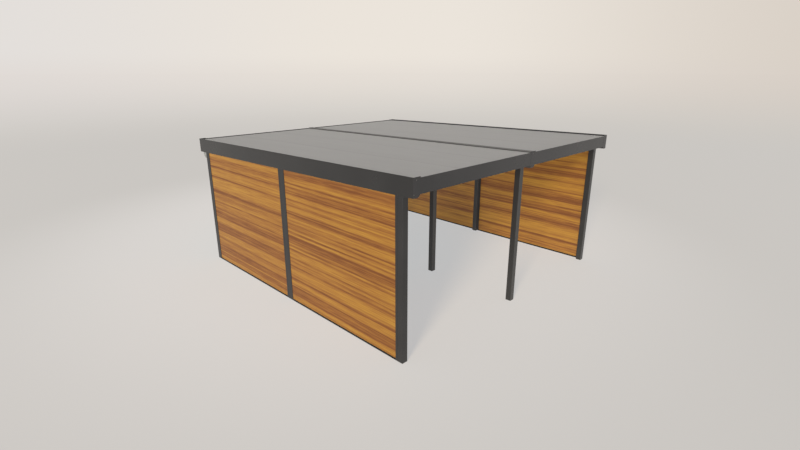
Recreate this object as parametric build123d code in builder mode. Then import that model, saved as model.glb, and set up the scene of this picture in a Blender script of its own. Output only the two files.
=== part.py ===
"""Double carport: ten square posts, three roof beams, two flat roof fields and two wood-decor side walls.

The origin is on the floor under the middle of the roof, +X to the right, +Y to the back, +Z up.
Lengths are in millimetres.
"""

import math
import os

from build123d import *

os.makedirs("parts", exist_ok=True)

# Overall sizes
overall_width = 5500.0
post_line_depth = 5630.0
front_overhang = 180.0
back_overhang = 240.0
clear_height = 2400.0
roof_fall = 127.0

# Posts and their foot plates
post_size = 100.0
post_wall = 3.0
post_corner_radius = 5.0
post_cope_ease = 4.0
foot_thickness = 10.0

# Roof beams: the side beams are gutters with a high outer lip, the centre beam has a rib on top
beam_width = 130.0
beam_height = 263.0
beam_wall = 5.0
beam_corner_radius = 60.0
gutter_depth = 90.0
gutter_slot = 45.0
rib_width = 110.0
rib_drop = 6.0
cap_thickness = 5.0
cap_screw_bore = 17.0
cap_screw_sink = 2.0
upper_screw_inset = 58.0
upper_screw_drop = 40.0
lower_screw_inset = 14.0
lower_screw_rise = 46.0

# Cross fascias between the beams, all but flush with the end caps
fascia_setback = 1.0
fascia_base_rise = 37.0
front_fascia_drop = 16.0
back_fascia_drop = 8.0
fascia_depth = 60.0
fascia_wall = 4.0

# Roof fields and the purlins under them
deck_drop = 22.0
deck_thickness = 40.0
purlin_count = 5
purlin_width = 50.0
purlin_height = 100.0
purlin_wall = 3.0

# Side walls: a panel in each bay, held in two upright channels and a floor rail
channel_width = 32.0
channel_depth = 26.0
channel_groove = 20.0
rail_height = 24.0
rail_groove = 12.0
panel_thickness = 16.0
panel_clearance = 0.3
panel_edge_gap = 2.0

# Rain bends from the side gutters into the back posts
pipe_diameter = 70.0
pipe_wall = 3.0
pipe_bend_radius = 75.0
pipe_drop = 25.0
pipe_reach = 62.0

# Cuts run past the faces that they open by this much
overrun = 10.0

# Places that follow from the sizes
overall_depth = front_overhang + post_line_depth + back_overhang
left_x = -overall_width / 2
right_x = overall_width / 2
front_y = -overall_depth / 2
back_y = overall_depth / 2
front_post_y = front_y + front_overhang
back_post_y = back_y - back_overhang
fall_rate = roof_fall / overall_depth
fall_angle = math.atan(fall_rate)
fall_direction = Vector(0, math.cos(fall_angle), -math.sin(fall_angle))
seat_height = beam_height - deck_drop - deck_thickness


def underside(y):
    """Height of the beams' underside at depth y."""
    return clear_height - fall_rate * (y - front_post_y)


def roof_point(y, height):
    """Point of a side view, a height above the beams' underside."""
    return (y, underside(y) + height)


def along_fall(run):
    """Length along the fall of a level run."""
    return run / math.cos(fall_angle)


def save(piece, name):
    """Label a finished piece and write its file."""
    piece.part.label = name
    export_step(piece.part, f"parts/{name}.step")


# Beam outline: a flat outer side and a rounded lower inner corner
beam_sides = {
    "left": (left_x, 1),
    "centre": (-beam_width / 2, 1),
    "right": (right_x, -1),
}


def section_plane(outer_x, inward, y):
    """Plane of a beam section, with its corner at the outer lower edge and its x axis pointing inward."""
    return Plane(origin=(outer_x, y, underside(y)), x_dir=(inward, 0, 0), z_dir=(0, -inward, 0))


def beam_profile(inset, high, radius=beam_corner_radius, mode=Mode.ADD):
    """Beam outline drawn in by an inset, up to a height, rounded at the lower inner corner."""
    far = beam_width - inset
    with BuildLine() as outline:
        Polyline(
            (far, inset + radius),
            (far, high),
            (inset, high),
            (inset, inset),
            (far - radius, inset),
        )
        RadiusArc((far - radius, inset), (far, inset + radius), -radius)
    make_face(outline.edges(), mode=mode)


# Post places: three in each side wall, four on the centre line
left_post_x = left_x + post_size / 2
right_post_x = right_x - post_size / 2
first_post_y = front_post_y + post_size / 2
last_post_y = back_post_y - post_size / 2
post_run = last_post_y - first_post_y
wall_post_y = {
    "front": first_post_y,
    "middle": first_post_y + post_run / 2,
    "back": last_post_y,
}
centre_post_y = {
    "front": first_post_y,
    "second": first_post_y + post_run / 3,
    "third": last_post_y - post_run / 3,
    "back": last_post_y,
}
post_rows = {
    "left": (left_post_x, wall_post_y),
    "centre": (0, centre_post_y),
    "right": (right_post_x, wall_post_y),
}


def square_post(x, y, outer_x, inward):
    """Square tube from its foot plate up to the beam, its top cut to follow the beam's underside."""
    with BuildPart() as post:
        with BuildSketch(Plane.XY.offset(foot_thickness)):
            with Locations((x, y)):
                RectangleRounded(post_size, post_size, post_corner_radius)
                Rectangle(post_size - 2 * post_wall, post_size - 2 * post_wall, mode=Mode.SUBTRACT)
        extrude(amount=clear_height + beam_corner_radius - foot_thickness)
        with BuildSketch(section_plane(outer_x, inward, y - post_size)):
            beam_profile(0, beam_height, beam_corner_radius - post_cope_ease)
        extrude(amount=along_fall(2 * post_size), dir=fall_direction, mode=Mode.SUBTRACT)
    return post


def foot_plates(x, row):
    """Flat plates under the posts of one row."""
    with BuildPart() as feet:
        with BuildSketch():
            with Locations(*[(x, y) for y in row.values()]):
                RectangleRounded(post_size, post_size, post_corner_radius)
        extrude(amount=foot_thickness)
    return feet


for row_name, (row_x, row_places) in post_rows.items():
    for place_name, post_y in row_places.items():
        save(square_post(row_x, post_y, *beam_sides[row_name]), f"{row_name}_{place_name}_post")
    save(foot_plates(row_x, row_places), f"{row_name}_post_feet")

# Beams between their end caps, with plumb end faces
beam_front_y = front_y + cap_thickness
beam_run = overall_depth - 2 * cap_thickness
gutter_floor = seat_height - gutter_depth


def opening(left, right, low, high):
    """Rectangle taken out of a section."""
    with Locations(((left + right) / 2, (low + high) / 2)):
        Rectangle(right - left, high - low, mode=Mode.SUBTRACT)


def gutter_beam(outer_x, inward):
    """Side beam: a closed chamber below, an open gutter above and a lip up to the full height outside."""
    with BuildPart() as beam:
        with BuildSketch(section_plane(outer_x, inward, beam_front_y)):
            beam_profile(0, beam_height)
            opening(beam_wall, beam_width + overrun, seat_height, beam_height + overrun)
            opening(beam_wall, beam_width - beam_wall, gutter_floor, seat_height)
            beam_profile(beam_wall, gutter_floor - beam_wall, mode=Mode.SUBTRACT)
        extrude(amount=along_fall(beam_run), dir=fall_direction)
    return beam


def ribbed_beam():
    """Centre beam: a closed chamber, and a hollow rib on top with a shoulder each side for the roof fields."""
    shoulder = (beam_width - rib_width) / 2
    rib_top = beam_height - rib_drop
    with BuildPart() as beam:
        with BuildSketch(section_plane(-beam_width / 2, 1, beam_front_y)):
            beam_profile(0, beam_height)
            opening(-overrun, shoulder, seat_height, beam_height + overrun)
            opening(beam_width - shoulder, beam_width + overrun, seat_height, beam_height + overrun)
            opening(-overrun, beam_width + overrun, rib_top, beam_height + overrun)
            beam_profile(beam_wall, seat_height - beam_wall, mode=Mode.SUBTRACT)
            opening(shoulder + beam_wall, beam_width - shoulder - beam_wall, seat_height, rib_top - beam_wall)
        extrude(amount=along_fall(beam_run), dir=fall_direction)
    return beam


def end_cap(outer_x, inward, face_y, into):
    """Plate over the end of a beam, its outer face sunk at two places for the heads of its screws."""
    outer_face = section_plane(outer_x, inward, face_y)
    with BuildPart() as cap:
        with BuildSketch(outer_face):
            beam_profile(0, beam_height)
        extrude(amount=along_fall(cap_thickness), dir=fall_direction * into)
        with BuildSketch(outer_face):
            with Locations(
                (upper_screw_inset, beam_height - upper_screw_drop),
                (lower_screw_inset, lower_screw_rise),
            ):
                Circle(cap_screw_bore / 2)
        extrude(amount=cap_screw_sink, dir=(0, into, 0), mode=Mode.SUBTRACT)
    return cap


save(gutter_beam(*beam_sides["left"]), "left_beam")
save(ribbed_beam(), "centre_beam")
save(gutter_beam(*beam_sides["right"]), "right_beam")

for side_name, (outer_x, inward) in beam_sides.items():
    save(end_cap(outer_x, inward, front_y, 1), f"{side_name}_beam_front_cap")
    save(end_cap(outer_x, inward, back_y, -1), f"{side_name}_beam_back_cap")

# Roof fields: between a side beam and the centre beam
field_spans = {
    "left": (left_x + beam_width, -beam_width / 2),
    "right": (beam_width / 2, right_x - beam_width),
}
fascia_front_y = front_y + fascia_setback
fascia_back_y = back_y - fascia_setback


def cross_fascia(span, outer_y, inward, top_drop):
    """Upright plate with a flange at its foot and a ledge for the roof field."""
    near = outer_y
    plate = outer_y + inward * fascia_wall
    deep = outer_y + inward * fascia_depth
    base = fascia_base_rise
    top = beam_height - top_drop
    with BuildPart() as fascia:
        with BuildSketch(Plane.YZ.offset(span[0])):
            Polygon(
                roof_point(near, base),
                roof_point(near, top),
                roof_point(plate, top),
                roof_point(plate, seat_height),
                roof_point(deep, seat_height),
                roof_point(deep, seat_height - fascia_wall),
                roof_point(plate, seat_height - fascia_wall),
                roof_point(plate, base + fascia_wall),
                roof_point(deep, base + fascia_wall),
                roof_point(deep, base),
                align=None,
            )
        extrude(amount=span[1] - span[0])
    return fascia


def purlin_side(middle_y, inset):
    """Corner points of a purlin's section, drawn in from its outside by an inset."""
    half = purlin_width / 2 - inset
    high = seat_height - inset
    low = seat_height - purlin_height + inset
    return [
        roof_point(middle_y - half, low),
        roof_point(middle_y + half, low),
        roof_point(middle_y + half, high),
        roof_point(middle_y - half, high),
    ]


def purlin_set(span):
    """Evenly spaced box purlins across one roof field."""
    first_y = fascia_front_y + fascia_depth
    spacing = -2 * first_y / (purlin_count + 1)
    with BuildPart() as purlins:
        for number in range(1, purlin_count + 1):
            middle_y = first_y + number * spacing
            with BuildSketch(Plane.YZ.offset(span[0])):
                Polygon(*purlin_side(middle_y, 0), align=None)
            extrude(amount=span[1] - span[0])
            with BuildSketch(Plane.YZ.offset(span[0])):
                Polygon(*purlin_side(middle_y, purlin_wall), align=None)
            extrude(amount=span[1] - span[0], mode=Mode.SUBTRACT)
    return purlins


def roof_deck(low_x, high_x):
    """Flat roof field, from the gutter slot to the rib and from fascia to fascia."""
    deck_front_y = max(beam_front_y, fascia_front_y + fascia_wall)
    with BuildPart() as deck:
        with BuildSketch(section_plane(low_x, 1, deck_front_y)):
            with Locations((0, seat_height)):
                Rectangle(high_x - low_x, deck_thickness, align=(Align.MIN, Align.MIN))
        extrude(amount=along_fall(-2 * deck_front_y), dir=fall_direction)
    return deck


for field_name, span in field_spans.items():
    save(cross_fascia(span, fascia_front_y, 1, front_fascia_drop), f"{field_name}_front_fascia")
    save(cross_fascia(span, fascia_back_y, -1, back_fascia_drop), f"{field_name}_back_fascia")
    save(purlin_set(span), f"{field_name}_purlins")

deck_edge = overall_width / 2 - beam_wall - gutter_slot
save(roof_deck(-deck_edge, -rib_width / 2), "left_roof_deck")
save(roof_deck(rib_width / 2, deck_edge), "right_roof_deck")

# Side walls: bays between neighbouring posts, outside flush with the posts
wall_bays = {
    "front": (wall_post_y["front"] + post_size / 2, wall_post_y["middle"] - post_size / 2),
    "back": (wall_post_y["middle"] + post_size / 2, wall_post_y["back"] - post_size / 2),
}
groove_width = panel_thickness + 2 * panel_clearance
groove_inset = (channel_depth - groove_width) / 2
panel_bite = channel_groove - panel_edge_gap


def wall_plane(side, inset, thickness):
    """Side-view plane of a layer of a wall, an inset in from the outer face."""
    if side == "left":
        return Plane.YZ.offset(left_x + inset)
    return Plane.YZ.offset(right_x - inset - thickness)


def upright(low_y, high_y, base):
    """Corner points of an upright strip from a base height to the beam."""
    return [
        (low_y, base),
        (high_y, base),
        roof_point(high_y, 0),
        roof_point(low_y, 0),
    ]


def upright_channels(side, bay):
    """The two channels beside the posts of a bay, open towards each other."""
    low_y, high_y = bay
    strips = [
        (low_y, low_y + channel_width),
        (high_y - channel_width, high_y),
    ]
    grooves = [
        (low_y + channel_width - channel_groove, low_y + channel_width + overrun),
        (high_y - channel_width - overrun, high_y - channel_width + channel_groove),
    ]
    with BuildPart() as channels:
        with BuildSketch(wall_plane(side, 0, channel_depth)):
            for strip in strips:
                Polygon(*upright(*strip, 0), align=None)
        extrude(amount=channel_depth)
        with BuildSketch(wall_plane(side, groove_inset, groove_width)):
            for groove in grooves:
                Polygon(*upright(*groove, 0), align=None)
        extrude(amount=groove_width, mode=Mode.SUBTRACT)
    return channels


def floor_rail(side, bay):
    """Channel on the floor between the two uprights, open at the top."""
    low_y, high_y = bay[0] + channel_width, bay[1] - channel_width
    middle_y = (low_y + high_y) / 2
    with BuildPart() as rail:
        with BuildSketch(wall_plane(side, 0, channel_depth)):
            with Locations((middle_y, 0)):
                Rectangle(high_y - low_y, rail_height, align=(Align.CENTER, Align.MIN))
        extrude(amount=channel_depth)
        with BuildSketch(wall_plane(side, groove_inset, groove_width)):
            with Locations((middle_y, rail_height - rail_groove)):
                Rectangle(high_y - low_y, rail_height, align=(Align.CENTER, Align.MIN))
        extrude(amount=groove_width, mode=Mode.SUBTRACT)
    return rail


def wall_panel(side, bay):
    """Sheet in the grooves of a bay, up to the underside of the beam."""
    reach = channel_width - panel_bite
    with BuildPart() as panel:
        with BuildSketch(wall_plane(side, groove_inset + panel_clearance, panel_thickness)):
            Polygon(*upright(bay[0] + reach, bay[1] - reach, rail_height - rail_groove), align=None)
        extrude(amount=panel_thickness)
    return panel


for side in ("left", "right"):
    for bay_name, bay in wall_bays.items():
        save(upright_channels(side, bay), f"{side}_{bay_name}_channels")
        save(floor_rail(side, bay), f"{side}_{bay_name}_floor_rail")
        save(wall_panel(side, bay), f"{side}_{bay_name}_panel")


# Rain bends: out of the gutter's underside behind the back post and forward into the post
def rain_bend(x):
    """Pipe elbow, square to the beam's underside at its top and to the post at its end."""
    down = Vector(0, -math.sin(fall_angle), -math.cos(fall_angle))
    forward = Vector(0, -1, 0)
    outlet_y = back_post_y + pipe_reach + pipe_bend_radius
    outlet = Vector(x, outlet_y, underside(outlet_y))
    turn_start = outlet + down * pipe_drop
    corner_length = pipe_bend_radius * math.tan((math.pi / 2 - fall_angle) / 2)
    turn_end = turn_start + (down + forward) * corner_length
    with BuildPart() as bend:
        with BuildLine() as route:
            Line(outlet, turn_start)
            TangentArc(turn_start, turn_end, tangent=down)
            Line(turn_end, (x, back_post_y, turn_end.Z))
        with BuildSketch(Plane(origin=outlet, z_dir=down)):
            Circle(pipe_diameter / 2)
            Circle(pipe_diameter / 2 - pipe_wall, mode=Mode.SUBTRACT)
        sweep(path=route.wires()[0])
    return bend


save(rain_bend(left_post_x), "left_rain_bend")
save(rain_bend(right_post_x), "right_rain_bend")
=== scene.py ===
import math

import bmesh
import bpy
from mathutils import Matrix, Vector


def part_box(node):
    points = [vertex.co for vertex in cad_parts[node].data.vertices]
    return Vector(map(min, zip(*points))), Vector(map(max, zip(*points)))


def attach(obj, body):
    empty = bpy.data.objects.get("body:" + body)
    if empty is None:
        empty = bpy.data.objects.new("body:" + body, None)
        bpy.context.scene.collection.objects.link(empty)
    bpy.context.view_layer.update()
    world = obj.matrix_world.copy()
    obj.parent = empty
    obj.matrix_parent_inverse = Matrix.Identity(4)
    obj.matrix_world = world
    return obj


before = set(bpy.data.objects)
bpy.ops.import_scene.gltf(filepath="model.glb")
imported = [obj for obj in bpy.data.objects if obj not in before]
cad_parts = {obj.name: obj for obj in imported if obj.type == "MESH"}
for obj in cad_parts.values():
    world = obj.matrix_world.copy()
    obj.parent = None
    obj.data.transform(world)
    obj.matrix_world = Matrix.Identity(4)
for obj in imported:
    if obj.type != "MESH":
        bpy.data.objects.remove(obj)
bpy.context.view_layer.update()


# Posts and foot plates
# Ten square aluminium tubes on flat foot plates in anthracite powder coat; the centre and right rows take a
# lighter copy of it as painted light in the roof's shade.
# Two button-head screws near the top of each inner face pin a tube to the spigot under its beam.
class Field:
    """A value that changes over a surface, held as a node's output; sums on it add Math nodes."""

    def __init__(self, tree, socket=None):
        self.tree = tree
        self.socket = socket

    def node(self, kind, settings, sockets, output=0):
        """Add a node, give it its settings and then its sockets' values or links."""
        made = self.tree.nodes.new(kind)
        for name, value in settings.items():
            if name == "stops":
                set_stops(made.color_ramp.elements, value)
            else:
                setattr(made, name, value)
        for name, value in sockets.items():
            if isinstance(value, Field):
                self.tree.links.new(value.socket, made.inputs[name])
            else:
                made.inputs[name].default_value = value
        return Field(self.tree, made.outputs[output])

    def math(self, operation, first, second):
        return self.node("ShaderNodeMath", {"operation": operation}, {0: first, 1: second})

    def __add__(self, other):
        return self.math("ADD", self, other)

    def __sub__(self, other):
        return self.math("SUBTRACT", self, other)

    def __rsub__(self, other):
        return self.math("SUBTRACT", other, self)

    def __mul__(self, other):
        return self.math("MULTIPLY", self, other)

    def __truediv__(self, other):
        return self.math("DIVIDE", self, other)

    def __rtruediv__(self, other):
        return self.math("DIVIDE", other, self)

    def __abs__(self):
        return self.math("ABSOLUTE", self, 0.0)

    __radd__ = __add__
    __rmul__ = __mul__

    def larger(self, other):
        return self.math("MAXIMUM", self, other)

    def fold(self, half):
        """Place within a row of strips: up to half a strip's width, and down again."""
        return self.math("PINGPONG", self, half)

    def part(self, axis):
        """One axis of a vector."""
        return self.node("ShaderNodeSeparateXYZ", {}, {0: self}, axis)

    def distance(self, point):
        """How far a place is from a point."""
        return self.node("ShaderNodeVectorMath", {"operation": "DISTANCE"}, {0: self, 1: point}, "Value")

    def rise(self, low, high):
        """Smooth step from 0 at low to 1 at high."""
        return self.node(
            "ShaderNodeMapRange",
            {"interpolation_type": "SMOOTHSTEP"},
            {"Value": self, "From Min": low, "From Max": high},
        )

    def spread(self):
        """Noise, which mostly lies between 0.3 and 0.7, drawn out to run from 0 to 1."""
        return self.rise(0.3, 0.7)

    def swing(self, amount):
        """Noise around 0.5 turned into a swing around 0."""
        return (self - 0.5) * amount

    def between(self, low, high):
        """A value that goes from low at 0 to high at 1."""
        return self * (high - low) + low

    def noise(self, scale, detail, stretch=(1.0, 1.0, 1.0), shift=(0.0, 0.0, 0.0)):
        """Soft noise around 0.5 over stretched and shifted coordinates."""
        spot = self.node("ShaderNodeMapping", {}, {"Vector": self, "Location": shift, "Scale": stretch})
        return self.node("ShaderNodeTexNoise", {}, {"Vector": spot, "Scale": scale, "Detail": detail})

    def colour(self, first, second):
        """Mix from the first colour at 0 to the second at 1; a Mix node's colour sockets go by number."""
        return self.node("ShaderNodeMix", {"data_type": "RGBA"}, {0: self, 6: first, 7: second}, 2)

    def ramp(self, stops):
        """Colour from a list of places and colours."""
        return self.node("ShaderNodeValToRGB", {"stops": stops}, {"Fac": self})

    def bump(self, depth):
        """Surface direction for a height of that many metres."""
        return self.node("ShaderNodeBump", {}, {"Height": self, "Distance": depth}, "Normal")

    def feed(self, shader, name):
        self.tree.links.new(self.socket, shader.inputs[name])


def set_stops(elements, stops):
    """Give a colour ramp its stops, from first to last."""
    while len(elements) < len(stops):
        elements.new(1.0)
    for element, (position, colour) in zip(elements, stops):
        element.position = position
        element.color = colour


def paint(red, green, blue):
    """Colour of a finish, from its screen values out of 255, by the usual screen curve."""
    offset = 0.055
    power = 2.4
    shares = [value / 255 for value in (red, green, blue)]
    return (*[((share + offset) / (1 + offset)) ** power for share in shares], 1.0)


def new_finish(name):
    """A material, its shader and the piece's own coordinates."""
    material = bpy.data.materials.new(name)
    material.use_nodes = True
    tree = material.node_tree
    place = Field(tree).node("ShaderNodeTexCoord", {}, {}, "Object")
    return material, tree.nodes["Principled BSDF"], place


coat_grain_depth = 0.00012
dust_tone = paint(140, 136, 129)
facing_up = (0.7, 1.0)
top_dust_share = 0.20
top_dulling = 0.45
cloud_dulling = 0.08
splash_heights = (0.02, 0.30)
splash_dust_share = 0.04


def powder_coat(name, dark, light, shine, roughness):
    """Satin coat with a fine grain, a little uneven in tone, dulled by weather on what faces up."""
    material, shader, place = new_finish(name)
    cloud = place.noise(scale=1.4, detail=4.0)
    upward = place.node("ShaderNodeNewGeometry", {}, {}, "Normal").part("Z").rise(*facing_up)
    splash = 1 - place.part("Z").rise(*splash_heights)
    dust = (upward * top_dust_share + splash * splash_dust_share) * place.noise(scale=9.0, detail=5.0)
    dust.colour(cloud.spread().colour(dark, light), dust_tone).feed(shader, "Base Color")
    dulled = cloud.between(roughness, roughness + cloud_dulling)
    (dulled + upward * top_dulling).feed(shader, "Roughness")
    shader.inputs["Specular IOR Level"].default_value = shine
    place.noise(scale=650.0, detail=2.0).bump(coat_grain_depth).feed(shader, "Normal")
    return material


def coat_nodes(names, material):
    """Give pieces of the frame their finish."""
    for name in names:
        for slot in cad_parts[name].material_slots:
            slot.material = material


crease_angle = math.radians(35)


def add_piece(mesh, name, material):
    """Turn a finished mesh into a piece that stays with the carport."""
    bmesh.ops.recalc_face_normals(mesh, faces=mesh.faces)
    data = bpy.data.meshes.new(name)
    mesh.to_mesh(data)
    mesh.free()
    data.shade_smooth()
    data.set_sharp_from_angle(angle=crease_angle)
    data.materials.append(material)
    piece = bpy.data.objects.new(name, data)
    bpy.context.scene.collection.objects.link(piece)
    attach(piece, "root")


screw_sides = 18
head_rounding_share = 0.75
socket_land_share = 0.35
socket_taper_share = 0.02
socket_depth_share = 0.6


def top_face(mesh):
    """The face that lies highest."""
    return max(mesh.faces, key=lambda face: face.calc_center_median().z)


def screw_head(radius, height):
    """Button head with a rounded rim and a socket, standing on the floor of its own mesh."""
    head = bmesh.new()
    bmesh.ops.create_cone(
        head, cap_ends=True, segments=screw_sides, radius1=radius, radius2=radius, depth=height,
        matrix=Matrix.Translation((0, 0, height / 2)),
    )
    bmesh.ops.bevel(
        head, geom=list(top_face(head).edges), offset=head_rounding_share * height, affect="EDGES",
        segments=3, profile=0.5, material=-1,
    )
    crown = top_face(head)
    bmesh.ops.inset_region(head, faces=[crown], thickness=socket_land_share * radius, depth=0)
    bmesh.ops.inset_region(
        head, faces=[crown], thickness=socket_taper_share * radius, depth=-socket_depth_share * height,
    )
    return head


def stand(point, outward):
    """Placing of a shape at a point, with its own upright along a direction."""
    turn = Vector((0, 0, 1)).rotation_difference(Vector(outward)).to_matrix().to_4x4()
    return Matrix.Translation(point) @ turn


def add_copies(mesh, shape, placings):
    """Set a copy of a shape into a mesh at every placing."""
    pattern = bpy.data.meshes.new("pattern")
    shape.to_mesh(pattern)
    shape.free()
    for placing in placings:
        placed = pattern.copy()
        placed.transform(placing)
        mesh.from_mesh(placed)
        bpy.data.meshes.remove(placed)
    bpy.data.meshes.remove(pattern)


post_coat = powder_coat(
    "anthracite_post_coat", paint(43, 42, 42), paint(49, 48, 48), shine=0.42, roughness=0.38,
)
# A lighter copy of the anthracite coat, as painted light: it lifts the posts and channels in the roof's shade
# and paints a sheen on the right beam's rim.
painted_light_coat = powder_coat(
    "anthracite_inner_post_coat", paint(55, 54, 53), paint(61, 60, 59), shine=0.45, roughness=0.32,
)
# The centre and right rows take the lighter copy, as painted light.
row_coats = {"left": post_coat, "centre": painted_light_coat, "right": painted_light_coat}
post_rows = {
    "left": (["front", "middle", "back"], [1]),
    "centre": (["front", "second", "third", "back"], [-1, 1]),
    "right": (["front", "middle", "back"], [-1]),
}
post_screw_radius = 0.007
post_screw_height = 0.004
post_screw_drop = 0.045
post_screw_spread = 0.025

for row, (names, inner_sides) in post_rows.items():
    coat_nodes([f"{row}_{name}_post" for name in names] + [f"{row}_post_feet"], row_coats[row])
    placings = []
    for name in names:
        low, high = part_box(f"{row}_{name}_post")
        middle_y = (low[1] + high[1]) / 2
        for side in inner_sides:
            face_x = high[0] if side > 0 else low[0]
            for offset in (-post_screw_spread, post_screw_spread):
                point = (face_x, middle_y + offset, high[2] - post_screw_drop)
                placings.append(stand(point, (side, 0, 0)))
    screws = bmesh.new()
    add_copies(screws, screw_head(post_screw_radius, post_screw_height), placings)
    add_piece(screws, f"{row}_post_screws", row_coats[row])


# Roof beams and end caps
# Three extruded aluminium beams lie on the posts: two outer gutters and a centre one with a rib, coated
# lighter as a painted sheen.
# A plate closes each end, held by two stainless screws in the screw channels of the extrusion.
def bare_metal(name, bright, marked):
    """Plain bright metal with faint handling marks."""
    material, shader, place = new_finish(name)
    marks = place.noise(scale=260.0, detail=3.0)
    marks.spread().colour(bright, marked).feed(shader, "Base Color")
    marks.between(0.28, 0.48).feed(shader, "Roughness")
    shader.inputs["Metallic"].default_value = 1.0
    return material


# The left beam and the end plates take a darker and a lighter copy of one coat: painted shade on the beam's
# side face and painted light on the front faces.
painted_shade_beam_coat = powder_coat(
    "anthracite_beam_coat", paint(34, 33, 33), paint(40, 39, 39), shine=0.60, roughness=0.22,
)
painted_light_edge_coat = powder_coat(
    "anthracite_edge_coat", paint(42, 41, 42), paint(48, 47, 48), shine=0.58, roughness=0.22,
)
# The centre beam's much lighter copy of the coat is a painted sheen along its rib.
painted_sheen_rib_coat = powder_coat(
    "anthracite_rib_coat", paint(82, 80, 78), paint(88, 86, 84), shine=0.45, roughness=0.32,
)
# The right beam takes the lighter post coat, a painted sheen on its rim.
beam_coats = {"left": painted_shade_beam_coat, "centre": painted_sheen_rib_coat, "right": painted_light_coat}
stainless = bare_metal("stainless_steel", paint(132, 130, 127), paint(112, 110, 108))
cap_screw_radius = 0.0075
cap_screw_height = 0.0015
cap_screw_sink = 0.002
upper_screw_inset = 0.058
upper_screw_drop = 0.040
lower_screw_inset = 0.014
lower_screw_rise = 0.046
beam_inward = {"left": 1, "centre": 1, "right": -1}

for side, inward in beam_inward.items():
    coat_nodes([f"{side}_beam"], beam_coats[side])
    coat_nodes([f"{side}_beam_front_cap", f"{side}_beam_back_cap"], painted_light_edge_coat)
    placings = []
    for end, outward in (("front", -1), ("back", 1)):
        low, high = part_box(f"{side}_beam_{end}_cap")
        outer_x = low[0] if inward > 0 else high[0]
        face_y = low[1] + cap_screw_sink if outward < 0 else high[1] - cap_screw_sink
        for inset, height in (
            (upper_screw_inset, high[2] - upper_screw_drop),
            (lower_screw_inset, low[2] + lower_screw_rise),
        ):
            placings.append(stand((outer_x + inward * inset, face_y, height), (0, outward, 0)))
    screws = bmesh.new()
    add_copies(screws, screw_head(cap_screw_radius, cap_screw_height), placings)
    add_piece(screws, f"{side}_cap_screws", stainless)

# Cross fascias
# Four folded aluminium plates close the roof at the front and the back, between the beams.
# They carry the same coat as the end caps.
coat_nodes([f"{side}_{end}_fascia" for side in ("left", "right") for end in ("front", "back")], painted_light_edge_coat)

# Purlins
# Five box purlins under each roof field run from beam to beam and carry the roof sheets.
# A bent steel cleat at each end is screwed to purlin and beam, and all are coated like the end caps.
purlin_count = 5
purlin_width = 0.050
purlin_height = 0.100
roof_fall = 0.127
roof_depth = 6.05
roof_fall_rate = roof_fall / roof_depth
cleat_leg = 0.045
cleat_height = 0.070
cleat_thickness = 0.004
cleat_rounding = 0.0008
cleat_screw_inset = 0.028
cleat_screw_spread = 0.020
cleat_screw_radius = 0.0055
cleat_screw_height = 0.0035


def angle_cleat():
    """Bent plate in a corner, one leg at the beam and one along the purlin, with two screws in each."""
    cleat = bmesh.new()
    outline = [
        (0, 0), (0, -cleat_leg), (cleat_thickness, -cleat_leg), (cleat_thickness, -cleat_thickness),
        (cleat_leg, -cleat_thickness), (cleat_leg, 0),
    ]
    section = cleat.faces.new([cleat.verts.new((x, y, -cleat_height / 2)) for x, y in outline])
    raised = bmesh.ops.extrude_face_region(cleat, geom=[section], use_keep_orig=True)["geom"]
    risen = [item for item in raised if isinstance(item, bmesh.types.BMVert)]
    bmesh.ops.translate(cleat, verts=risen, vec=(0, 0, cleat_height))
    bmesh.ops.recalc_face_normals(cleat, faces=cleat.faces)
    bmesh.ops.bevel(
        cleat, geom=list(cleat.edges), offset=cleat_rounding, affect="EDGES", segments=2, profile=0.5,
        material=-1,
    )
    placings = []
    for height in (-cleat_screw_spread, cleat_screw_spread):
        placings.append(stand((cleat_thickness, -cleat_screw_inset, height), (1, 0, 0)))
        placings.append(stand((cleat_screw_inset, -cleat_thickness, height), (0, -1, 0)))
    add_copies(cleat, screw_head(cleat_screw_radius, cleat_screw_height), placings)
    return cleat


for side in ("left", "right"):
    coat_nodes([f"{side}_purlins"], painted_light_edge_coat)
    low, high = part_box(f"{side}_purlins")
    spacing = (high[1] - low[1] - purlin_width) / (purlin_count - 1)
    placings = []
    for number in range(purlin_count):
        front_y = low[1] + number * spacing
        middle_z = high[2] - purlin_height / 2 - roof_fall_rate * (front_y - low[1])
        placings.append(Matrix.Translation((low[0], front_y, middle_z)))
        placings.append(Matrix.Translation((high[0], front_y, middle_z)) @ Matrix.Scale(-1, 4, (1, 0, 0)))
    cleats = bmesh.new()
    add_copies(cleats, angle_cleat(), placings)
    add_piece(cleats, f"{side}_purlin_cleats", painted_light_edge_coat)

# Roof fields
# Smooth coated sheets, mid grey and matt, laid side by side along the fall between gutter and rib.
# Rain leaves faint streaks down the fall, and the joints between the sheets barely show.
sheets_across = 3
rain_share = 0.4
cloud_range = (0.35, 0.65)
joint_range = (0.003, 0.006)
joint_depth = 0.0008
sheet_grain_share = 0.06
sheet_shine = 0.3


def roof_sheet(name, low, high):
    """Matt grey sheet with faint clouds, rain streaks and joints along the fall."""
    material, shader, place = new_finish(name)
    cloud = place.noise(scale=0.7, detail=4.0)
    streaks = place.noise(scale=6.0, detail=4.0, stretch=(1.0, 0.06, 1.0))
    tone = (cloud * (1 - rain_share) + streaks * rain_share).rise(*cloud_range)
    half_sheet = (high[0] - low[0]) / sheets_across / 2
    off_joint = (place.part("X") - low[0]).fold(half_sheet).rise(*joint_range)
    sheet = tone.colour(paint(151, 148, 145), paint(155, 152, 149))
    off_joint.colour(paint(131, 128, 125), sheet).feed(shader, "Base Color")
    cloud.between(0.62, 0.74).feed(shader, "Roughness")
    grain = place.noise(scale=420.0, detail=2.0)
    (grain * sheet_grain_share + off_joint).bump(joint_depth).feed(shader, "Normal")
    shader.inputs["Specular IOR Level"].default_value = sheet_shine
    return material


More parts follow.
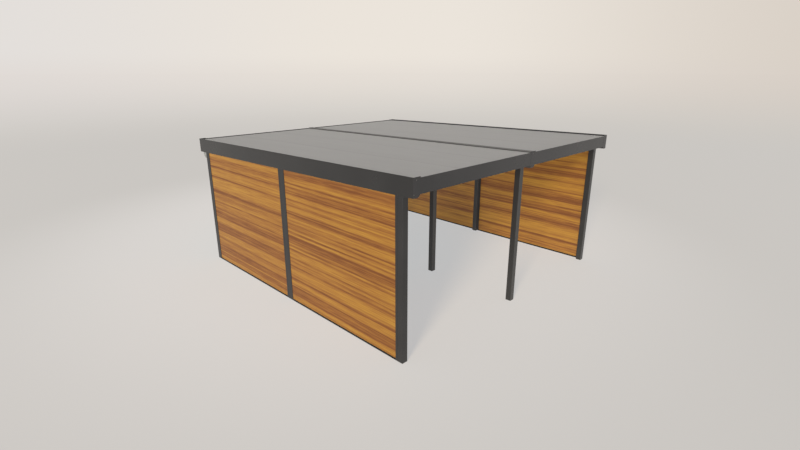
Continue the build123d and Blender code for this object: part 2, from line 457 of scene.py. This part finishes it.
for side in ("left", "right"):
    deck = f"{side}_roof_deck"
    coat_nodes([deck], roof_sheet(f"{side}_roof_sheet", *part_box(deck)))

# Wall channels and floor rails
# Aluminium channels beside the posts and a rail on the floor hold each wall panel in their grooves; the
# rail's coat is darker, as painted shade along the foot of the walls.
# The channels are coated like the posts beside them, and round rubber seals close the joints to the panel.
channel_width = 0.032
panel_thickness = 0.016
seal_radius = 0.0025
seal_rounding = 0.001
seal_sides = 10


def rubber(name):
    """Black rubber with a dull, faintly mottled skin."""
    material, shader, place = new_finish(name)
    cloud = place.noise(scale=60.0, detail=4.0)
    cloud.spread().colour(paint(24, 24, 24), paint(36, 36, 35)).feed(shader, "Base Color")
    cloud.between(0.55, 0.75).feed(shader, "Roughness")
    return material


def round_seal(start, end):
    """Thin round strip from one point to another, with slightly rounded ends."""
    run = Vector(end) - Vector(start)
    seal = bmesh.new()
    bmesh.ops.create_cone(
        seal, cap_ends=True, segments=seal_sides, radius1=seal_radius, radius2=seal_radius, depth=run.length,
        matrix=stand((Vector(start) + Vector(end)) / 2, run),
    )
    rims = [edge for face in seal.faces if len(face.verts) == seal_sides for edge in face.edges]
    bmesh.ops.bevel(
        seal, geom=rims, offset=seal_rounding, affect="EDGES", segments=1, profile=0.5, material=-1,
    )
    return seal


# The rail's coat is darker than the posts', as painted shade along the foot of the walls.
painted_shade_rail_coat = powder_coat(
    "anthracite_rail_coat", paint(33, 31, 30), paint(39, 37, 36), shine=0.12, roughness=0.22,
)
seal_rubber = rubber("black_seal_rubber")
for side in ("left", "right"):
    seals = bmesh.new()
    for end in ("front", "back"):
        coat_nodes([f"{side}_{end}_channels"], row_coats[side])
        coat_nodes([f"{side}_{end}_floor_rail"], painted_shade_rail_coat)
        low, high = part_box(f"{side}_{end}_channels")
        rail_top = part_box(f"{side}_{end}_floor_rail")[1][2]
        middle_x = (low[0] + high[0]) / 2
        offset_x = panel_thickness / 2 + seal_radius
        near_y = low[1] + channel_width + seal_radius
        far_y = high[1] - channel_width - seal_radius
        foot_z = rail_top + seal_radius
        for face_x in (middle_x - offset_x, middle_x + offset_x):
            runs = []
            for strip_y in (near_y, far_y):
                top_z = high[2] - roof_fall_rate * (strip_y - low[1]) - seal_radius
                runs.append(((face_x, strip_y, rail_top), (face_x, strip_y, top_z)))
            runs.append(((face_x, near_y, foot_z), (face_x, far_y, foot_z)))
            for start, finish in runs:
                add_copies(seals, round_seal(start, finish), [Matrix()])
    add_piece(seals, f"{side}_wall_seals", seal_rubber)

# Wall panels
# Four compact decor boards with a printed amber wood grain that runs level from post to post.
# The right wall's boards are painted lighter, as painted light in the roof's shade, and their film is
# glossier; each board has bands at its own heights.
brown_strength = 0.35
line_strength = 0.36
pale_strength = 0.22
line_breadth = 0.026
band_core_share = 0.32
band_edge_share = 0.6
fade_range = (0.2, 0.7)
faded_share = 0.6
wood_grain_depth = 0.0003
wood_shades = [(0.0, (126, 76, 39)), (0.3, (150, 97, 47)), (0.6, (170, 117, 52)), (1.0, (190, 139, 58))]


def streak(level, middle, breadth):
    """Soft-edged band across a board: 1 around its middle height, 0 beyond its edges."""
    return 1 - abs(level - middle).rise(band_core_share * breadth, band_edge_share * breadth)


def wood_decor(name, shift, brown_bands, dark_lines, pale_bands, stain, contrast, painted_light_lift, shine):
    """Level wood grain from bands at given heights, with finer grain between them."""
    material, shader, place = new_finish(name)

    def layer(along, up, detail, draw):
        """Noise with about that many changes for each metre along the board and up it."""
        return place.noise(1.0, detail, stretch=(0.0, along, up), shift=(0.0, draw * shift, 0.0))

    sway = layer(along=0.3, up=1.6, detail=2.0, draw=1)
    jag = layer(along=1.2, up=26.0, detail=3.0, draw=1)
    fade = layer(along=0.9, up=7.0, detail=3.0, draw=2)
    grain = layer(along=0.3, up=52.0, detail=4.0, draw=3)
    hair = layer(along=1.6, up=210.0, detail=3.0, draw=4)
    figure = layer(along=0.14, up=21.0, detail=2.0, draw=5)
    fleck = layer(along=1.2, up=38.0, detail=3.0, draw=6)
    dash = layer(along=3.4, up=62.0, detail=2.0, draw=8)
    level = place.part("Z") + sway.swing(0.014) + jag.swing(0.012)
    brown = sum(streak(level, middle, breadth) for middle, breadth in brown_bands)
    lines = sum(streak(level, middle, line_breadth) for middle in dark_lines)
    pale = sum(streak(level, middle, breadth) for middle, breadth in pale_bands)
    bands = pale * pale_strength - brown * brown_strength - lines * line_strength
    tone = bands * fade.rise(*fade_range).between(faded_share, 1.0)
    tone = tone + figure.swing(0.5) + grain.swing(1.2) + hair.swing(0.6)
    tone = tone + fleck.swing(0.9) + dash.swing(0.7)
    tone = stain + tone * contrast
    stops = [(position, paint(*[painted_light_lift * value for value in shade])) for position, shade in wood_shades]
    tone.ramp(stops).feed(shader, "Base Color")
    tone.between(0.46, 0.38).feed(shader, "Roughness")
    shader.inputs["Specular IOR Level"].default_value = shine
    (grain * 0.5 + hair * 0.5).bump(wood_grain_depth).feed(shader, "Normal")
    return material


# For each board: brown bands with their breadths, thin dark lines, and pale bands with their breadths.
decor_bands = {
    "left_front": (
        [(2.31, 0.13), (2.03, 0.12), (1.625, 0.09), (1.17, 0.14), (0.685, 0.04), (0.45, 0.05), (0.21, 0.18)],
        [2.142, 1.972, 1.862, 1.625, 1.44, 1.375, 1.298, 1.215, 1.05, 0.985, 0.827, 0.755, 0.29],
        [(2.18, 0.03), (2.113, 0.024), (1.915, 0.05), (1.713, 0.06), (1.515, 0.10), (1.326, 0.03),
         (1.262, 0.03), (1.02, 0.024), (0.895, 0.10), (0.79, 0.026), (0.567, 0.12), (0.37, 0.04),
         (0.085, 0.06)],
    ),
    "left_back": (
        [(2.165, 0.04), (2.035, 0.035), (1.53, 0.085), (1.045, 0.14), (0.757, 0.16), (0.29, 0.12),
         (0.155, 0.10)],
        [2.035, 1.828, 1.53, 1.31, 1.15, 0.99, 0.825, 0.682, 0.50, 0.34],
        [(2.27, 0.08), (2.09, 0.03), (1.93, 0.12), (1.70, 0.20), (1.35, 0.03), (0.945, 0.04), (0.60, 0.12)],
    ),
    "right_front": (
        [(2.34, 0.10), (1.92, 0.06), (1.775, 0.13), (1.23, 0.14), (0.93, 0.12), (0.67, 0.13), (0.29, 0.06)],
        [2.03, 1.775, 1.595, 1.38, 1.21, 1.035, 0.90, 0.66, 0.29, 0.15, 0.09],
        [(2.13, 0.14), (1.66, 0.03), (1.49, 0.12), (1.11, 0.07), (0.82, 0.09), (0.49, 0.16), (0.34, 0.05)],
    ),
    "right_back": (
        [(2.10, 0.12), (1.60, 0.15), (0.79, 0.12), (0.445, 0.10)],
        [1.90, 1.42, 1.12, 0.57, 0.44],
        [(1.78, 0.10), (1.25, 0.10), (1.00, 0.12), (0.66, 0.05), (0.35, 0.08), (0.18, 0.12)],
    ),
}
# The right wall's higher stain and lift make its boards lighter, as painted light on the boards in the roof's
# shade.
wall_films = {
    "left": {"stain": 0.545, "contrast": 1.0, "painted_light_lift": 1.0, "shine": 0.22},
    "right": {"stain": 0.575, "contrast": 1.15, "painted_light_lift": 1.08, "shine": 0.56},
}
board_shift = 7.3

for number, (board, bands) in enumerate(decor_bands.items()):
    film = wall_films[board.split("_")[0]]
    decor = wood_decor(f"{board}_decor", board_shift * (number + 1), *bands, **film)
    coat_nodes([f"{board}_panel"], decor)

# Rain bends
# A grey plastic pipe bend leads from each side gutter into the back post.
# Moulded collars seal it where it leaves the beam and where it enters the post.
pipe_radius = 0.035
flange_radius = 0.045
flange_thickness = 0.006
sleeve_radius = 0.039
collar_height = 0.016
collar_rounding = 0.001
collar_sides = 40
weld_distance = 0.00001
plastic_grain_depth = 0.0001


def pipe_plastic(name):
    """Plain grey plastic, faintly clouded, with a soft shine."""
    material, shader, place = new_finish(name)
    cloud = place.noise(scale=12.0, detail=4.0)
    cloud.spread().colour(paint(146, 146, 142), paint(158, 157, 153)).feed(shader, "Base Color")
    cloud.between(0.35, 0.50).feed(shader, "Roughness")
    place.noise(scale=500.0, detail=2.0).bump(plastic_grain_depth).feed(shader, "Normal")
    return material


def moulded_collar():
    """Flange and sleeve in one moulding: its outline spun round the pipe."""
    collar = bmesh.new()
    profile = [
        (pipe_radius, 0),
        (flange_radius, 0),
        (flange_radius, flange_thickness - 1.5 * collar_rounding),
        (flange_radius - collar_rounding, flange_thickness),
        (sleeve_radius + collar_rounding, flange_thickness + collar_rounding),
        (sleeve_radius, flange_thickness + 2 * collar_rounding),
        (sleeve_radius, collar_height - collar_rounding),
        (sleeve_radius - collar_rounding, collar_height),
        (pipe_radius, collar_height),
    ]
    outline = [collar.verts.new((radius, 0, height)) for radius, height in profile]
    rim = [collar.edges.new(pair) for pair in zip(outline, outline[1:] + outline[:1])]
    bmesh.ops.spin(
        collar, geom=outline + rim, axis=(0, 0, 1), cent=(0, 0, 0), steps=collar_sides, angle=2 * math.pi,
        use_merge=True,
    )
    bmesh.ops.remove_doubles(collar, verts=collar.verts, dist=weld_distance)
    return collar


pipe_grey = pipe_plastic("grey_pipe_plastic")
for side in ("left", "right"):
    coat_nodes([f"{side}_rain_bend"], pipe_grey)
    low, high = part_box(f"{side}_rain_bend")
    pipe_x = (low[0] + high[0]) / 2
    outlet_y = high[1] - pipe_radius
    collars = bmesh.new()
    add_copies(collars, moulded_collar(), [
        stand((pipe_x, outlet_y, high[2]), (0, -roof_fall_rate, -1)),
        stand((pipe_x, low[1], low[2] + pipe_radius), (0, 1, 0)),
    ])
    add_piece(collars, f"{side}_rain_collars", pipe_grey)

# Floor and backdrop
# A pale seamless studio floor with a painted pool of light around the carport, that turns into the backdrop
# far behind it.
# It takes part of its tone from the lamps, so the carport's soft shadow shows on it.
floor_radius = 400.0
floor_sides = 64
floor_sink = 0.001
# The cool near tone is painted shade under the roof; the tones further out paint the pool of light fading
# away.
painted_shade_floor_tone = paint(222, 224, 225)
floor_middle = paint(222, 221, 221)
floor_away = paint(207, 206, 205)
floor_far = paint(203, 200, 195)
floor_roughness = 0.9
painted_light_pool_middle = (0.3, 2.2, 0.0)
middle_ring = (2.0, 4.5)
away_ring = (4.0, 9.5)
far_ring = (12.0, 40.0)
glow_share = 0.66
studio_front = (-6.8, -6.9, 0.0)
haze_height = 3.9
haze_slope = 0.14
horizon_left_tone = paint(224, 218, 214)
horizon_tone = paint(229, 222, 214)
horizon_right_tone = paint(215, 206, 197)
side_range = (0.1, 1.1)


def across(sideways, left, middle, right):
    """Tone of the backdrop from its left side over its middle to its right side."""
    tone = sideways.rise(*side_range).colour(middle, right)
    return (0 - sideways).rise(*side_range).colour(tone, left)


def seen_rays(place):
    """1 where the camera sees a surface, also in a reflection."""
    kinds = ("Camera", "Glossy", "Transmission")
    rays = [place.node("ShaderNodeLightPath", {}, {}, f"Is {kind} Ray") for kind in kinds]
    return rays[0].larger(rays[1]).larger(rays[2])


def studio_floor(name):
    """Pale floor that takes a soft shadow near the object and melts into the backdrop."""
    material, shader, place = new_finish(name)
    reach = place.distance(painted_light_pool_middle)
    sideways = (place.part("X") - place.part("Y")) / reach
    horizon = across(sideways, horizon_left_tone, horizon_tone, horizon_right_tone)
    # Tones by distance paint a pool of light, with a cool painted shade tint at its middle.
    tone = reach.rise(*middle_ring).colour(painted_shade_floor_tone, floor_middle)
    tone = reach.rise(*away_ring).colour(tone, floor_away)
    far = reach.rise(*far_ring)
    tone = far.colour(tone, floor_far)
    tone = (haze_height / place.distance(studio_front)).rise(0.0, haze_slope).colour(horizon, tone)
    tone.feed(shader, "Base Color")
    shader.inputs["Roughness"].default_value = floor_roughness
    shader.inputs["Specular IOR Level"].default_value = 0.0
    lit = Field(place.tree, shader.outputs[0])
    glow = place.node("ShaderNodeEmission", {}, {"Color": tone})
    share = seen_rays(place) * far.between(glow_share, 1.0)
    blend = place.node("ShaderNodeMixShader", {}, {"Fac": share, 1: lit, 2: glow})
    blend.feed(place.tree.nodes["Material Output"], "Surface")
    return material


ground = bmesh.new()
bmesh.ops.create_circle(
    ground, cap_ends=True, segments=floor_sides, radius=floor_radius,
    matrix=Matrix.Translation((0, 0, -floor_sink)),
)
floor_data = bpy.data.meshes.new("floor")
ground.to_mesh(floor_data)
ground.free()
floor_data.materials.append(studio_floor("pale_floor"))
floor = bpy.data.objects.new("floor", floor_data)
bpy.context.scene.collection.objects.link(floor)

# Studio light
# An even pale surround, four soft lamps on the carport and a warm low lamp that lights the floor alone.
# Two posts of the right wall don't block the front lamp, so no dark strip falls on the boards beside them.
surround_tone = (0.95, 0.975, 1.0, 1.0)
surround_strength = 0.38
sky_left_tone = paint(226, 222, 219)
sky_tone = paint(235, 228, 219)
sky_right_tone = paint(215, 206, 196)
sky_range = (-0.02, 0.03)

world = bpy.data.worlds.new("studio")
world.use_nodes = True
world_tree = world.node_tree
surround = world_tree.nodes["Background"]
surround.inputs["Color"].default_value = surround_tone
surround.inputs["Strength"].default_value = surround_strength
direction = Field(world_tree).node("ShaderNodeTexCoord", {}, {}, "Generated")
sideways = direction.part("X") - direction.part("Y")
lower_sky = across(sideways, horizon_left_tone, horizon_tone, horizon_right_tone)
upper_sky = across(sideways, sky_left_tone, sky_tone, sky_right_tone)
sky = direction.part("Z").rise(*sky_range).colour(lower_sky, upper_sky)
backdrop = direction.node("ShaderNodeBackground", {}, {"Color": sky})
even_light = Field(world_tree, surround.outputs[0])
both = direction.node("ShaderNodeMixShader", {}, {"Fac": seen_rays(direction), 1: even_light, 2: backdrop})
both.feed(world_tree.nodes["World Output"], "Surface")
bpy.context.scene.world = world


def linked_pieces(name, pieces, state):
    """Collection that keeps a lamp's light or shadow to some pieces, or keeps it off them."""
    linked = bpy.data.collections.new(name)
    for piece in pieces:
        linked.objects.link(piece)
    for entry in linked.collection_objects:
        entry.light_linking.link_state = state
    return linked


floor_only = linked_pieces("floor_only", [floor], "INCLUDE")
all_but_floor = linked_pieces("all_but_floor", [floor], "EXCLUDE")
right_wall_posts = [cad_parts["right_front_post"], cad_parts["right_middle_post"]]
all_but_right_posts = linked_pieces("all_but_right_posts", right_wall_posts, "EXCLUDE")

# For each lamp: strength, breadth, colour, heading, height, what it lights and what blocks it.
# Breadth, heading and height are in degrees.
lamps = {
    "key_lamp": (0.84, 12, (1.0, 0.93, 0.80), 66, 19, all_but_floor, None),
    "front_lamp": (1.82, 9, (0.91, 0.965, 1.0), 38, 3.5, all_but_floor, all_but_right_posts),
    "overhead_lamp": (0.60, 90, (1.0, 1.0, 1.0), 45, 85, all_but_floor, None),
    "back_lamp": (0.6, 60, (1.0, 1.0, 1.0), 225, 25, all_but_floor, None),
    "floor_lamp": (4.8, 13, (1.0, 0.81, 0.57), 66, 19, floor_only, None),
}
for lamp_name, (energy, breadth, colour, heading, height, lit_pieces, blockers) in lamps.items():
    light = bpy.data.lights.new(lamp_name, "SUN")
    light.energy = energy
    light.angle = math.radians(breadth)
    light.color = colour
    lamp = bpy.data.objects.new(lamp_name, light)
    lamp.rotation_euler = (math.radians(90 - height), 0, -math.radians(heading))
    lamp.light_linking.receiver_collection = lit_pieces
    lamp.light_linking.blocker_collection = blockers
    bpy.context.scene.collection.objects.link(lamp)

# Camera
# Stands at the front left above the roof edge, turned to the carport and tilted down.
image_width = 800
focal_pixels = 481.35
film_width = 36.0
far_limit = 1000.0
camera_place = (-6.8395, -6.905, 3.912)
camera_heading = math.radians(44.88)
camera_tilt = math.radians(18.065)

camera_data = bpy.data.cameras.new("camera")
camera_data.sensor_fit = "HORIZONTAL"
camera_data.sensor_width = film_width
camera_data.lens = film_width * focal_pixels / image_width
camera_data.clip_end = far_limit
camera = bpy.data.objects.new("camera", camera_data)
camera.location = camera_place
camera.rotation_euler = (math.pi / 2 - camera_tilt, 0, -camera_heading)
bpy.context.scene.collection.objects.link(camera)
bpy.context.scene.camera = camera
bpy.context.scene.view_settings.view_transform = "Standard"
